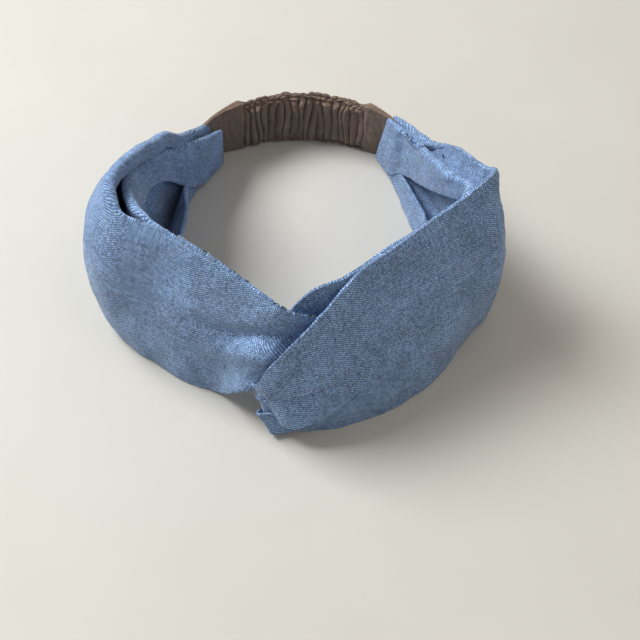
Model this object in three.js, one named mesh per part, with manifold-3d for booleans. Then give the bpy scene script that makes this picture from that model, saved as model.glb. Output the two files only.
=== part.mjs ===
// Knotted headband: two flat cloth bands, each folded in a U and hooked through the other at
// the front, with their four ends sewn to a gathered casing that hides an elastic strip.
// Millimetres, +Z up. The band stands on its lower edges at z = 0, with the knot towards -Y.
import * as THREE from 'three';
import { mergeVertices } from 'three/addons/utils/BufferGeometryUtils.js';
import Module from 'manifold-3d';

const wasm = await Module();
wasm.setup();

// Driving dimensions.
const CASING_HEIGHT = 35;
const CASING_THICK = 6.4;
const CASING_END_THICK = 4.4;
const CASING_WALL = 1.1;
const CASING_MID_Y = 91.5;
const SEAM_X = 43.8;
const SEAM_Y = 79.5;
const END_LEAN = 8;
const TONGUE = 8;
const TONGUE_DIRECTION = [0.6, -0.8];
const ELASTIC_WIDTH = 25;
const ELASTIC_THICK = 1.6;
const ELASTIC_RISE = 4;
const BAND_THICK = 4;
const BAND_END_THICK = 2.4;
const BAND_CORNER_HEIGHT = 93;
const TOUCH_GAP = 0.3;
const END_GAP = 0.6;
const THREAD_RADIUS = 0.3;
const STITCH_PITCH = 3;

// The knot's four layers, counted from the front, lie on one curved and leaning wall.
const LAYER_PITCH = 6;
const FRONT_LAYER_Y = -85.75;
const KNOT_Z = 40;
const KNOT_LEAN = 0.22;
const KNOT_CURVE = 0.009;
const BEND_RADIUS = LAYER_PITCH;
const SLANT = Math.SQRT1_2;

// Cloth and thread as they look in daylight.
const CHAMBRAY = { color: 0x7393bd, roughness: 0.92, metalness: 0 };
const TAUPE = { color: 0x6f5a50, roughness: 0.85, metalness: 0 };
const ELASTIC = { color: 0xece8e0, roughness: 0.8, metalness: 0 };
const BLUE_THREAD = { color: 0x5f7fae, roughness: 0.7, metalness: 0 };
const BROWN_THREAD = { color: 0x5b483f, roughness: 0.7, metalness: 0 };

const v = (x, y, z) => new THREE.Vector3(x, y, z);

/** A cross-section of a ribbon: its lower edge, its upper edge and its thickness. */
const station = (low, high, thick = BAND_THICK) => ({ low: v(...low), high: v(...high), thick });

/** The middle line, width direction and thickness of a ribbon at u, from 0 to 1. */
function ribbonFrame(stations) {
  const lows = new THREE.CatmullRomCurve3(stations.map((s) => s.low), false, 'centripetal');
  const highs = new THREE.CatmullRomCurve3(stations.map((s) => s.high), false, 'centripetal');
  const thicks = new THREE.SplineCurve(stations.map((s) => new THREE.Vector2(0, s.thick)));
  const middle = (u) => lows.getPoint(u).add(highs.getPoint(u)).multiplyScalar(0.5);
  return (u) => {
    const low = lows.getPoint(u);
    const high = highs.getPoint(u);
    const step = 1e-3;
    const ahead = middle(Math.min(1, u + step));
    const along = ahead.sub(middle(Math.max(0, u - step))).normalize();
    const face = high.clone().sub(low).cross(along).normalize();
    return { low, high, face, thick: thicks.getPoint(u).y };
  };
}

/** A flat ribbon through the stations: a box bent along them. */
function ribbon(stations, steps, rows = 2) {
  const frame = ribbonFrame(stations);
  const box = new THREE.BoxGeometry(1, 1, 1, steps, 1, rows);
  const place = box.attributes.position;
  for (let i = 0; i < place.count; i += 1) {
    const { low, high, face, thick } = frame(place.getX(i) + 0.5);
    const point = low.lerp(high, place.getZ(i) + 0.5).addScaledVector(face, thick * place.getY(i));
    place.setXYZ(i, point.x, point.y, point.z);
  }
  return box;
}

/** A merged mesh as a solid that can be joined and cut. */
function solid(geometry) {
  const bare = geometry.clone();
  bare.deleteAttribute('normal');
  bare.deleteAttribute('uv');
  const merged = mergeVertices(bare, 1e-4);
  const vertProperties = Float32Array.from(merged.attributes.position.array);
  const triVerts = Uint32Array.from(merged.index.array);
  return new wasm.Manifold(new wasm.Mesh({ numProp: 3, vertProperties, triVerts }));
}

/** A solid turned back into a geometry. */
function surface(body) {
  const mesh = body.getMesh();
  const geometry = new THREE.BufferGeometry();
  geometry.setAttribute('position', new THREE.BufferAttribute(mesh.vertProperties, 3));
  geometry.setIndex(new THREE.BufferAttribute(mesh.triVerts, 1));
  return geometry;
}

/** Cuts off whatever reaches below the table, which leaves flat lower edges. */
function standing(geometry) {
  const depth = 20;
  const slab = new THREE.BoxGeometry(400, 400, depth).translate(0, 0, -depth / 2);
  return surface(solid(geometry).subtract(solid(slab)));
}

/** A point of the knot in its wall: layer 0 is in front, and halves lie between layers. */
function inKnot(x, z, layer) {
  const y = FRONT_LAYER_Y + LAYER_PITCH * layer + KNOT_LEAN * (z - KNOT_Z) + KNOT_CURVE * x * x;
  return [x, y, z];
}

/** A cross-section in the knot, from the x and z of its lower and its upper edge. */
function knotStation(low, high, layer) {
  return station(inKnot(...low, layer), inKnot(...high, layer));
}

/** The U turn round the other band's edge, from one layer to the layer two further in. */
function uTurn(side, low, high, layer) {
  return [0, 0.25, 0.5, 0.75, 1].map((t) => {
    const reach = SLANT * BEND_RADIUS * Math.sin(Math.PI * t);
    const shift = ([x, z]) => [x - side * reach, z - reach];
    return knotStation(shift(low), shift(high), layer + 1 - Math.cos(Math.PI * t));
  });
}

/** Where a leg starts: beside the casing's tongue, on its outer or its inner face. */
function legEnd(side, away, reach) {
  const offset = away * (CASING_END_THICK / 2 + END_GAP + BAND_END_THICK / 2);
  const [alongX, alongY] = TONGUE_DIRECTION;
  const x = side * (SEAM_X + alongX * reach - alongY * offset);
  const y = SEAM_Y + alongY * reach + alongX * offset;
  return station([x, y, -1], [x, y - END_LEAN, CASING_HEIGHT - 1], BAND_END_THICK);
}

/** The outer leg, from the casing round the side corner to the front of the ring. */
function outerLeg(side) {
  return [
    legEnd(side, 1, 0),
    legEnd(side, 1, TONGUE),
    station([side * 64, 57, -1], [side * 60, 50, 46], 3),
    station([side * 78, 31, -1], [side * 71, 24, 68]),
    station([side * 89, 5, -1], [side * 80, 0, 86]),
    station([side * 92, -22, -1], [side * 83, -20, BAND_CORNER_HEIGHT]),
    station([side * 80, -44, -1], [side * 69, -35, 88]),
    station([side * 61, -62, -1], [side * 48, -48, 82]),
  ];
}

/** The inner leg, from the casing along the inside of the ring to the front. */
function innerLeg(side) {
  return [
    legEnd(side, -1, 0),
    legEnd(side, -1, TONGUE),
    station([side * 52, 54, -1], [side * 49, 46, 42], 3),
    station([side * 58, 30, -1], [side * 56, 24, 60]),
    station([side * 64, 4, -1], [side * 62, 0, 72]),
    station([side * 64, -20, -1], [side * 60, -18, 76]),
    station([side * 50, -44, 1], [side * 44, -36, 74]),
  ];
}

const RIGHT = 1;
const LEFT = -1;

/** The right band is in front: its U turn wraps the left band's lower edge. */
function rightStations() {
  return [
    ...outerLeg(RIGHT),
    knotStation([44, 8], [25, 77], 0),
    knotStation([24, 11], [4, 60], 0),
    ...uTurn(RIGHT, [4, 7.5], [-18.5, 30], 0),
    knotStation([18, 24], [-6, 48], 2),
    knotStation([33, 38], [12, 68], 2),
    ...innerLeg(RIGHT).reverse(),
  ];
}

/** The left band passes behind it, and its U turn wraps the right band's inner leg. */
function leftStations() {
  return [
    ...outerLeg(LEFT),
    knotStation([-42, 8], [-27, 76], 1),
    knotStation([-25, 33], [-8, 68], 1),
    knotStation([-8, 28], [8, 56], 1),
    ...uTurn(LEFT, [6, 10], [30, 34], 1),
    knotStation([-8, 27], [7, 58], 3),
    knotStation([-32, 12], [-20, 74], 3),
    ...innerLeg(LEFT).reverse(),
  ];
}

/** The casing's line: a shallow arc over the back, with a straight tongue past each seam. */
function casingStations(low, high, thickMid, thickEnd, tongue) {
  const rise = CASING_MID_Y - SEAM_Y;
  const radius = (SEAM_X ** 2 + rise ** 2) / (2 * rise);
  const half = Math.asin(SEAM_X / radius);
  const arc = [-1, -0.75, -0.5, -0.25, 0, 0.25, 0.5, 0.75, 1].map((t) => {
    const x = radius * Math.sin(half * t);
    const y = CASING_MID_Y - radius * (1 - Math.cos(half * t));
    const lean = END_LEAN * t * t;
    const thick = THREE.MathUtils.lerp(thickMid, thickEnd, t ** 4);
    const at = (z) => [x, y - (lean * z) / CASING_HEIGHT, z];
    return station(at(low), at(high), thick);
  });
  const end = (side) => {
    const x = side * (SEAM_X + TONGUE_DIRECTION[0] * tongue);
    const y = SEAM_Y + TONGUE_DIRECTION[1] * tongue;
    const at = (z) => [x, y - (END_LEAN * z) / CASING_HEIGHT, z];
    return station(at(low), at(high), thickEnd);
  };
  return [end(LEFT), ...arc, end(RIGHT)];
}

/** The casing is a flat tube of cloth, open at both ends, with the channel for the elastic. */
function casingGeometry() {
  const steps = 48;
  const skin = ribbon(casingStations(-1, CASING_HEIGHT, CASING_THICK, CASING_END_THICK, TONGUE), steps);
  const channelMid = CASING_THICK - 2 * CASING_WALL;
  const channelEnd = CASING_END_THICK - 2 * CASING_WALL;
  const low = ELASTIC_RISE - 1;
  const high = ELASTIC_RISE + ELASTIC_WIDTH + 1;
  const channel = ribbon(casingStations(low, high, channelMid, channelEnd, TONGUE + 1), steps);
  return surface(solid(standing(skin)).subtract(solid(channel)));
}

/** The flat elastic strip inside the casing, sewn in with its ends. */
function elasticGeometry() {
  const low = ELASTIC_RISE;
  const high = ELASTIC_RISE + ELASTIC_WIDTH;
  return ribbon(casingStations(low, high, ELASTIC_THICK, ELASTIC_THICK, TONGUE - 1), 48, 1);
}

/** A thread along points: a round section carried along a curve. */
function thread(points, steps, radius = THREAD_RADIUS) {
  const section = new THREE.Shape().absarc(0, 0, radius, 0, Math.PI * 2);
  const path = new THREE.CatmullRomCurve3(points, false, 'centripetal');
  return new THREE.ExtrudeGeometry(section, {
    steps, curveSegments: 3, bevelEnabled: false, extrudePath: path,
  });
}

/** The thread of a band's long seam, just clear of the band's upper edge all the way round. */
function seamThread(stations, steps) {
  const frame = ribbonFrame(stations);
  const clear = TOUCH_GAP + THREAD_RADIUS + 0.2;
  const first = 1.2 / (stations.length - 1);
  const points = Array.from({ length: 60 }, (_, i) => {
    const { low, high } = frame(THREE.MathUtils.lerp(first, 1 - first, i / 59));
    const across = high.clone().sub(low).normalize();
    return high.addScaledVector(across, clear);
  });
  return thread(points, steps);
}

/** The row of stitches that closes the sandwich of two band ends and the casing's tongue. */
function endStitching(side) {
  const outer = legEnd(side, 1, TONGUE / 2);
  const [alongX, alongY] = TONGUE_DIRECTION;
  const clear = BAND_END_THICK / 2 + TOUCH_GAP + THREAD_RADIUS + 0.9;
  const count = Math.floor((CASING_HEIGHT - 6) / STITCH_PITCH);
  const points = Array.from({ length: 2 * count + 1 }, (_, i) => {
    const t = (3 + (i * STITCH_PITCH) / 2) / CASING_HEIGHT;
    const point = outer.low.clone().lerp(outer.high, t);
    const lift = clear + (i % 2) * 0.4;
    return point.add(v(-side * alongY * lift, alongX * lift, 0));
  });
  return thread(points, points.length * 2);
}

/** The thread that closes the casing's long seam, above its upper edge. */
function casingThread() {
  const z = CASING_HEIGHT + TOUCH_GAP + THREAD_RADIUS + 0.2;
  const points = casingStations(z, z + 1, 1, 1, 0).slice(1, -1).map((s) => s.low);
  return thread(points, 40);
}

/** One named piece in its own finish. */
function piece(name, geometry, finish) {
  const mesh = new THREE.Mesh(geometry, new THREE.MeshStandardMaterial(finish));
  mesh.name = name;
  return mesh;
}

const headband = new THREE.Group();
headband.add(
  piece('left_band', standing(ribbon(leftStations(), 84)), CHAMBRAY),
  piece('right_band', standing(ribbon(rightStations(), 84)), CHAMBRAY),
  piece('elastic_casing', casingGeometry(), TAUPE),
  piece('elastic_strip', elasticGeometry(), ELASTIC),
  piece('left_end_stitching', endStitching(LEFT), BLUE_THREAD),
  piece('right_end_stitching', endStitching(RIGHT), BLUE_THREAD),
  piece('left_band_seam_thread', seamThread(leftStations(), 100), BLUE_THREAD),
  piece('right_band_seam_thread', seamThread(rightStations(), 100), BLUE_THREAD),
  piece('casing_seam_thread', casingThread(), BROWN_THREAD),
);

export default headband;
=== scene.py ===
"""A knotted headband: two chambray bands hooked together in front, and a gathered elastic casing.

Sizes are in millimetres until a mesh is written, which is in metres. +Z is up, the knot is
towards -Y, and the ring stands on z = 0.
"""

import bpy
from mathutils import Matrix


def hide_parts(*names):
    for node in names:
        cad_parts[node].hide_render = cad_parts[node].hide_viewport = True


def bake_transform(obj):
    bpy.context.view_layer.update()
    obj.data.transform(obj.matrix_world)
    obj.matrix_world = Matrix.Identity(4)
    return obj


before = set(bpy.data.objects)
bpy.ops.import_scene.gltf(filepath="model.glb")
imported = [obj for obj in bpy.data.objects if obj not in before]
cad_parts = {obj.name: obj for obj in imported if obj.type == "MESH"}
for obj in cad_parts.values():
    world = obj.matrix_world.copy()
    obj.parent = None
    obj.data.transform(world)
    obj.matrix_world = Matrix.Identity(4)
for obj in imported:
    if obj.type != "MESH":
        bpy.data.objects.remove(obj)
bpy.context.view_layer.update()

import logging
import math
from dataclasses import dataclass, field
from enum import Enum

import bpy
import numpy as np
from mathutils import Matrix

log = logging.getLogger("headband")

MM = 0.001
SEAM_X = 43.8
SEAM_Y = 79.5
CASING_MID_Y = 91.5
CASING_HEIGHT = 35.0
END_LEAN = 8.0

# The knot's four layers, counted from the front, lie on one curved and leaning wall.
LAYER_PITCH = 5.0
FRONT_LAYER_Y = -87.2
KNOT_Z = 40.0
KNOT_LEAN = 0.22
KNOT_TILT = 0.0022
KNOT_CURVE = 0.009

Array = np.ndarray
Pair = tuple[float, float]
Point = tuple[float, float, float]
OffsetOrPoint = Pair | Point


class Side(Enum):
    """A side of the ring, with the sign that x has there."""

    LEFT = -1
    RIGHT = 1


def ease(x: Array) -> Array:
    """A smooth step: 0 below 0, 1 above 1, and three x squared less two x cubed between."""
    x = np.clip(x, 0.0, 1.0)
    return x * x * (3.0 - 2.0 * x)


def unit(vectors: Array) -> Array:
    """Each vector divided by its own length."""
    return vectors / np.maximum(np.linalg.norm(vectors, axis=-1, keepdims=True), 1e-9)


def glide(knots: Array, values: Array, at: Array) -> Array:
    """A curve through values, with no overshoot to speak of.

    Between two knots it is the cubic that has the weighted mean of the neighbouring slopes
    at each end.

    Args:
        knots: where the values stand, in rising order.
        values: one row of numbers per knot.
        at: where the curve is wanted.

    Returns:
        One row of numbers for each place asked for.
    """
    knots, values, at = (np.asarray(a, float) for a in (knots, values, at))
    gaps = np.diff(knots)
    shape = (-1,) + (1,) * (values.ndim - 1)
    slopes = np.diff(values, axis=0) / gaps.reshape(shape)
    before, after = gaps[:-1].reshape(shape), gaps[1:].reshape(shape)
    middle = (slopes[:-1] * after + slopes[1:] * before) / (before + after)
    tangents = np.concatenate([slopes[:1], middle, slopes[-1:]])
    i = np.clip(np.searchsorted(knots, at, side="right") - 1, 0, len(knots) - 2)
    gap = gaps[i]
    t = np.clip((at - knots[i]) / gap, 0.0, 1.0).reshape(shape)
    gap = gap.reshape(shape)
    square, cube = t * t, t * t * t
    return (
        values[i] * (2 * cube - 3 * square + 1)
        + tangents[i] * gap * (cube - 2 * square + t)
        + values[i + 1] * (3 * square - 2 * cube)
        + tangents[i + 1] * gap * (cube - square)
    )


def track(stops: dict[float, float], at: Array) -> Array:
    """A number that changes smoothly from stop to stop and rests at each of them.

    Args:
        stops: the number at each stop's place.
        at: where the number is wanted.

    Returns:
        The number at each of those places.
    """
    places = np.array(sorted(stops), float)
    numbers = np.array([stops[p] for p in sorted(stops)], float)
    i = np.clip(np.searchsorted(places, at, side="right") - 1, 0, len(places) - 2)
    share = ease((at - places[i]) / (places[i + 1] - places[i]))
    return numbers[i] + (numbers[i + 1] - numbers[i]) * share


def ripple(u: Array, v: Array, seed: int, waves: tuple[float, float], stretch: float = 1.0) -> Array:
    """A smooth random field: the mean of many cosines that run in random directions.

    Args:
        u: distance along the cloth.
        v: distance across the cloth.
        seed: which field of many.
        waves: shortest and longest wavelength.
        stretch: how many times longer the waves are along u than across.

    Returns:
        Numbers that mostly lie from -1 to 1.
    """
    rng = np.random.default_rng(seed)
    count = 28
    usual_peak = 1.6
    total = np.zeros(np.broadcast(u, v).shape)
    for heading, length, phase in rng.random((count, 3)):
        angle = heading * math.pi
        wave = 2 * math.pi / (waves[0] + (waves[1] - waves[0]) * length)
        total += np.cos(wave * (math.cos(angle) * u / stretch + math.sin(angle) * v) + 2 * math.pi * phase)
    return total / math.sqrt(count / 2) / usual_peak


# ---- meshes


def grid_faces(rows: int, columns: int, closed: bool) -> Array:
    """The four corners of every cell of a grid of points.

    Args:
        rows: points along the first direction.
        columns: points along the second direction.
        closed: whether the last column joins the first.

    Returns:
        One row of four point numbers per cell.
    """
    i = np.arange(rows - 1)[:, None]
    j = np.arange(columns if closed else columns - 1)[None, :]
    k = (j + 1) % columns
    cells = [i * columns + j, i * columns + k, (i + 1) * columns + k, (i + 1) * columns + j]
    return np.stack([np.broadcast_to(c, (rows - 1, j.size)) for c in cells], -1).reshape(-1, 4)


def mesh_piece(name: str, points: Array, faces: list[Array], uv: list[Array]) -> bpy.types.Object:
    """A new mesh object from whole arrays, in millimetres.

    Args:
        name: the piece's name.
        points: one row of x, y and z per point.
        faces: arrays of point numbers, each with one row per face.
        uv: for each array of faces, the place on the flat cloth of each corner.

    Returns:
        The object, at the origin, with its faces smooth and outwards.
    """
    sizes = np.concatenate([np.full(len(f), f.shape[1]) for f in faces])
    corners = np.concatenate([f.ravel() for f in faces])
    mesh = bpy.data.meshes.new(name)
    mesh.vertices.add(len(points))
    mesh.vertices.foreach_set("co", (points * MM).astype(np.float32).ravel())
    mesh.loops.add(len(corners))
    mesh.loops.foreach_set("vertex_index", corners.astype(np.int32))
    mesh.polygons.add(len(sizes))
    mesh.polygons.foreach_set("loop_start", np.concatenate([[0], np.cumsum(sizes)[:-1]]).astype(np.int32))
    mesh.polygons.foreach_set("use_smooth", np.ones(len(sizes), bool))
    layer = mesh.uv_layers.new(name="cloth")
    layer.data.foreach_set("uv", np.concatenate([u.reshape(-1, 2) for u in uv]).astype(np.float32).ravel())
    mesh.update(calc_edges=True)
    mesh.validate()
    if volume(points, faces) < 0:
        mesh.flip_normals()
    piece = bpy.data.objects.new(name, mesh)
    bpy.context.scene.collection.objects.link(piece)
    log.info("%s: %d points, %d faces", name, len(points), len(sizes))
    return piece


def volume(points: Array, faces: list[Array]) -> float:
    """The volume that the faces close in, by fans of triangles from the origin.

    Args:
        points: one row of x, y and z per point.
        faces: arrays of point numbers, each with one row per face.

    Returns:
        The volume, which is negative when the faces point inwards.
    """
    total = 0.0
    for group in faces:
        first = points[group[:, 0]]
        for k in range(1, group.shape[1] - 1):
            second, third = points[group[:, k]], points[group[:, k + 1]]
            total += float((first * np.cross(second, third)).sum()) / 6
    return total


def tube_piece(name: str, grid: Array, uv: Array) -> bpy.types.Object:
    """A closed tube from a grid of points whose columns run round it, with its ends filled.

    Args:
        name: the piece's name.
        grid: rows along the tube, columns round it, and x, y and z.
        uv: the same rows, one column more, and the place on the flat cloth.

    Returns:
        The object.
    """
    rows, columns, _ = grid.shape
    ends = [grid[0].mean(0), grid[-1].mean(0)]
    points = np.concatenate([grid.reshape(-1, 3), ends])
    sides = grid_faces(rows, columns, True)
    side_uv = np.stack([uv[:-1, :-1], uv[:-1, 1:], uv[1:, 1:], uv[1:, :-1]], 2).reshape(-1, 4, 2)
    around = np.arange(columns)
    ahead = (around + 1) % columns
    first = np.stack([ahead, around, np.full(columns, rows * columns)], 1)
    base = (rows - 1) * columns
    last = np.stack([base + around, base + ahead, np.full(columns, rows * columns + 1)], 1)
    cap_uv = [
        np.stack([uv[r, 1:], uv[r, :-1], np.broadcast_to(uv[r].mean(0), (columns, 2))], 1)
        for r in (0, -1)
    ]
    return mesh_piece(name, points, [sides, first, last], [side_uv, *cap_uv])


# ---- materials


@dataclass(frozen=True)
class Nodes:
    """A short hand for wiring a material's nodes."""

    tree: bpy.types.NodeTree

    def feed(self, node: bpy.types.Node, place: int | str, value: object) -> None:
        """Links an output to a node's input, or sets that input to a number or colour."""
        if isinstance(value, bpy.types.NodeSocket):
            self.tree.links.new(value, node.inputs[place])
        else:
            node.inputs[place].default_value = value

    def add(self, kind: str, **values) -> bpy.types.Node:
        """A node, with its settings and the numbers or links of its inputs.

        Args:
            kind: the node's type name without its ShaderNode prefix.
            **values: settings by name, or inputs by name or by in_ and their place.

        Returns:
            The node.
        """
        node = self.tree.nodes.new("ShaderNode" + kind)
        for key, value in values.items():
            if hasattr(node, key):
                setattr(node, key, value)
            else:
                place = int(key[3:]) if key.startswith("in_") else key.replace("_", " ")
                self.feed(node, place, value)
        return node

    def math(self, operation: str, *inputs: object, clamp: bool = False) -> bpy.types.NodeSocket:
        """The result of one sum on numbers or sockets."""
        node = self.add("Math", operation=operation, use_clamp=clamp)
        for place, value in enumerate(inputs):
            self.feed(node, place, value)
        return node.outputs[0]

    def vector(self, operation: str, first: object, **others) -> bpy.types.NodeSocket:
        """The result of one sum on vectors."""
        return self.add("VectorMath", operation=operation, in_0=first, **others).outputs[0]

    def noise(self, where: object, scale: float, detail: float, **others) -> bpy.types.NodeSocket:
        """The value, from 0 to 1, of a cloudy pattern."""
        return self.add("TexNoise", Vector=where, Scale=scale, Detail=detail, **others).outputs["Fac"]

    def mix(self, share: object, first: object, second: object) -> bpy.types.NodeSocket:
        """A colour that goes from the first to the second."""
        node = self.add("Mix", data_type="RGBA", in_0=share)
        for place, value in ((6, first), (7, second)):
            self.feed(node, place, value if isinstance(value, bpy.types.NodeSocket) else (*value, 1.0))
        return node.outputs[2]

    def bump(self, height: object, strength: float, distance: float, **others) -> bpy.types.NodeSocket:
        """A surface direction that follows a height."""
        return self.add("Bump", Height=height, Strength=strength, Distance=distance, **others).outputs[0]


def new_material(name: str) -> tuple[bpy.types.Material, Nodes, bpy.types.Node]:
    """An empty material with its surface shader.

    Args:
        name: the material's name.

    Returns:
        The material, the wiring helper and the shader node.
    """
    material = bpy.data.materials.new(name)
    material.use_nodes = True
    material.node_tree.nodes.clear()
    nodes = Nodes(material.node_tree)
    shader = nodes.add("BsdfPrincipled")
    nodes.add("OutputMaterial", Surface=shader.outputs[0])
    return material, nodes, shader


def darker(colour: Point, share: float) -> Point:
    """A share of a colour's light."""
    return tuple(share * c for c in colour)


@dataclass(frozen=True)
class WovenCloth:
    """A plain weave: warp threads along the cloth, weft threads across, over and under in turn.

    pitch: the distance from one thread to the next.
    slub: how many pitches the threads wander.
    shade: how much painted shade darkens the cloth between the threads.
    speckle: how much the crossings differ from each other.
    """

    name: str
    warp: Point
    weft: Point
    pitch: float
    roughness: float
    sheen: float
    slub: float
    relief: float
    shade: float
    speckle: float

    def material(self) -> bpy.types.Material:
        """The weave's colour and relief from the piece's own cloth coordinates.

        A thread's place is its distance over the thread pitch, bent a little by noise. The
        product of two sines is above zero where warp lies on top and below where weft does,
        and each thread is round: the height falls with the distance from its own middle.

        Returns:
            The material.
        """
        material, n, shader = new_material(self.name)
        thread = self.pitch * MM
        cloth = n.add("UVMap", uv_map="cloth").outputs[0]
        bend = n.add("TexNoise", Vector=cloth, Scale=420.0, Detail=3.0).outputs["Color"]
        bend = n.vector("SUBTRACT", bend, in_1=(0.5, 0.5, 0.5))
        bend = n.vector("SCALE", bend, Scale=self.pitch * MM * self.slub)
        place = n.vector("ADD", cloth, in_1=bend)
        split = n.add("SeparateXYZ", in_0=place)
        turn = math.pi / thread
        along = n.math("SINE", n.math("MULTIPLY", split.outputs[0], turn))
        across = n.math("SINE", n.math("MULTIPLY", split.outputs[1], turn))
        over = n.math("MULTIPLY_ADD", n.math("MULTIPLY", along, across), 1.6, 0.5, clamp=True)
        yarn_round = 0.6
        rise = n.math("MULTIPLY", n.math("POWER", n.math("ABSOLUTE", across), yarn_round), over)
        under = n.math("SUBTRACT", 1.0, over)
        fall = n.math("MULTIPLY", n.math("POWER", n.math("ABSOLUTE", along), yarn_round), under)
        height = n.math("ADD", rise, fall)
        colour = n.mix(over, self.weft, self.warp)
        # Painted shade: where the height is low, between the threads, the colour is darkened towards a
        # dark warp colour.
        gap = n.math("MULTIPLY", n.math("SUBTRACT", 1.0, height), self.shade, clamp=True)
        colour = n.mix(gap, colour, darker(self.warp, 0.16))
        colour = n.vector("SCALE", colour, Scale=self.tone(n, cloth, place, split))
        n.feed(shader, "Base Color", colour)
        fuzz = n.noise(cloth, 5200.0, 3.0)
        woven = n.bump(height, self.relief, 0.22 * self.pitch * MM)
        n.feed(shader, "Normal", n.bump(fuzz, 0.35, 0.05 * MM, Normal=woven))
        shader.inputs["Roughness"].default_value = self.roughness
        shader.inputs["Sheen Weight"].default_value = self.sheen
        shader.inputs["Sheen Roughness"].default_value = 0.45
        shader.inputs["Specular IOR Level"].default_value = 0.18
        return material

    def tone(
        self,
        n: Nodes,
        cloth: bpy.types.NodeSocket,
        place: bpy.types.NodeSocket,
        split: bpy.types.Node,
    ) -> bpy.types.NodeSocket:
        """How light the yarn is: the product of its flecks, its streaks and its faded patches.

        Args:
            n: the wiring helper.
            cloth: the place on the flat cloth.
            place: the same, bent with the threads.
            split: the bent place as two numbers.

        Returns:
            A number near 1.
        """
        flecks = n.math("MULTIPLY_ADD", self.fleck(n, place), 2 * self.speckle, 1.0 - self.speckle)
        streaks = n.math("MULTIPLY_ADD", self.thread_tone(n, split), -0.45, 1.2)
        patches = n.math("MULTIPLY_ADD", n.noise(cloth, 60.0, 5.0, Roughness=0.65), 0.9, 0.55)
        return n.math("MULTIPLY", n.math("MULTIPLY", flecks, streaks), patches)

    def fleck(self, n: Nodes, place: bpy.types.NodeSocket) -> bpy.types.NodeSocket:
        """A shade of its own for each crossing of two threads, as spun yarn is never even."""
        cell = n.vector("FLOOR", n.vector("SCALE", place, Scale=1 / (self.pitch * MM)))
        return n.add("TexWhiteNoise", Vector=cell).outputs["Value"]

    def thread_tone(self, n: Nodes, split: bpy.types.Node) -> bpy.types.NodeSocket:
        """Long streaks along single threads, as unevenly dyed yarn has.

        Args:
            n: the wiring helper.
            split: the place on the cloth as two numbers.

        Returns:
            A number from 0 to 1, mostly near one of the two.
        """
        threads = 1.0 / (self.pitch * MM)
        streaks_per_metre = 46.0
        apart = 0.73
        streaks = []
        for fast, slow in ((1, 0), (0, 1)):
            across = n.math("FLOOR", n.math("MULTIPLY", split.outputs[fast], threads))
            down = n.math("MULTIPLY", split.outputs[slow], streaks_per_metre)
            where = n.add("CombineXYZ", in_0=n.math("MULTIPLY", across, apart), in_1=down)
            streaks.append(n.noise(where.outputs[0], 1.0, 1.0))
        both = n.math("MULTIPLY", streaks[0], streaks[1])
        return n.math("MULTIPLY_ADD", both, 3.4, -0.72, clamp=True)


@dataclass(frozen=True)
class SpunThread:
    """A twisted sewing thread."""

    name: str
    colour: Point

    def material(self) -> bpy.types.Material:
        """Slanting bands of painted shade wound round the thread, dark in the grooves of its twist."""
        material, n, shader = new_material(self.name)
        cloth = n.add("UVMap", uv_map="cloth").outputs[0]
        wave = n.add("TexWave", Vector=cloth, Scale=1400.0, bands_direction="DIAGONAL").outputs["Fac"]
        # Painted shade: the low parts of the twist's bump are darkened.
        n.feed(shader, "Base Color", n.mix(wave, darker(self.colour, 0.55), self.colour))
        n.feed(shader, "Normal", n.bump(wave, 0.5, 0.06 * MM))
        shader.inputs["Roughness"].default_value = 0.6
        shader.inputs["Sheen Weight"].default_value = 0.2
        return material


@dataclass(frozen=True)
class BraidedElastic:
    """A flat braided elastic: fine ribs along it, crossed by the rubber cores' puckers."""

    name: str = "elastic_webbing"
    colour: Point = (0.8, 0.77, 0.7)
    rib: float = 1.6
    pucker: float = 0.9

    def material(self) -> bpy.types.Material:
        """Ribs are a sine across the strip and puckers a sine along it; the low places between them get
        painted shade.
        """
        material, n, shader = new_material(self.name)
        split = n.add("SeparateXYZ", in_0=n.add("UVMap", uv_map="cloth").outputs[0])
        ribs = n.math("SINE", n.math("MULTIPLY", split.outputs[1], 2 * math.pi / (self.rib * MM)))
        puckers = n.math("SINE", n.math("MULTIPLY", split.outputs[0], 2 * math.pi / (self.pucker * MM)))
        height = n.math("MULTIPLY_ADD", n.math("ADD", ribs, puckers), 0.25, 0.5)
        # Painted shade: the low places between the ribs and puckers are darkened.
        n.feed(shader, "Base Color", n.mix(height, darker(self.colour, 0.6), self.colour))
        n.feed(shader, "Normal", n.bump(height, 0.7, 0.2 * MM))
        shader.inputs["Roughness"].default_value = 0.75
        return material


# ---- the bands


def in_knot(x: float, z: float, layer: float) -> Point:
    """A point on one layer of the knot's wall.

    The wall leans back by a share of the height above the knot, by a square of it above the
    knot's middle, and by a square of x.

    Args:
        x, z: the point's place from the front.
        layer: which layer, counted inwards from the front.

    Returns:
        The point.
    """
    rise = z - KNOT_Z
    back = KNOT_LEAN * rise + KNOT_TILT * max(rise, 0.0) ** 2 + KNOT_CURVE * x * x
    return (x, FRONT_LAYER_Y + LAYER_PITCH * layer + back, z)


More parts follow.
